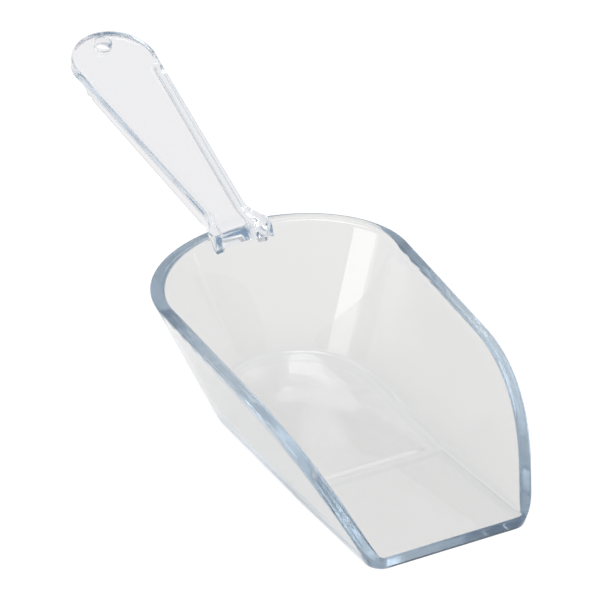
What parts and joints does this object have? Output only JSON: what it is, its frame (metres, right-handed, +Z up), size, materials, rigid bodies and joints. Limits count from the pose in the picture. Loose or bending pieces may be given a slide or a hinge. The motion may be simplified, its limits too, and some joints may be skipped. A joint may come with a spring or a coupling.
{
  "type": "ice scoop",
  "caption": "Clear plastic scoop with a flat-bottomed bowl, flared walls, an open square lip and a flat tapered handle bonded into the back rim.",
  "frame": {"origin": "on the underside, half way between the handle's tip and the lip, on the plane of symmetry", "axes": "+X towards the lip, +Y to the left, +Z up; the flat underside lies in z = 0"},
  "size_m": [0.207, 0.0814, 0.0685],
  "materials": {
    "clear_bowl": "clear polycarbonate, moulded gloss, faint blue tint in the thick edges",
    "clear_handle": "clear polycarbonate, moulded gloss, faint blue tint in the thick edges"
  },
  "bodies": {
    "root": {"bowl": "clear_bowl", "handle": "clear_handle"}
  },
  "joints": []
}
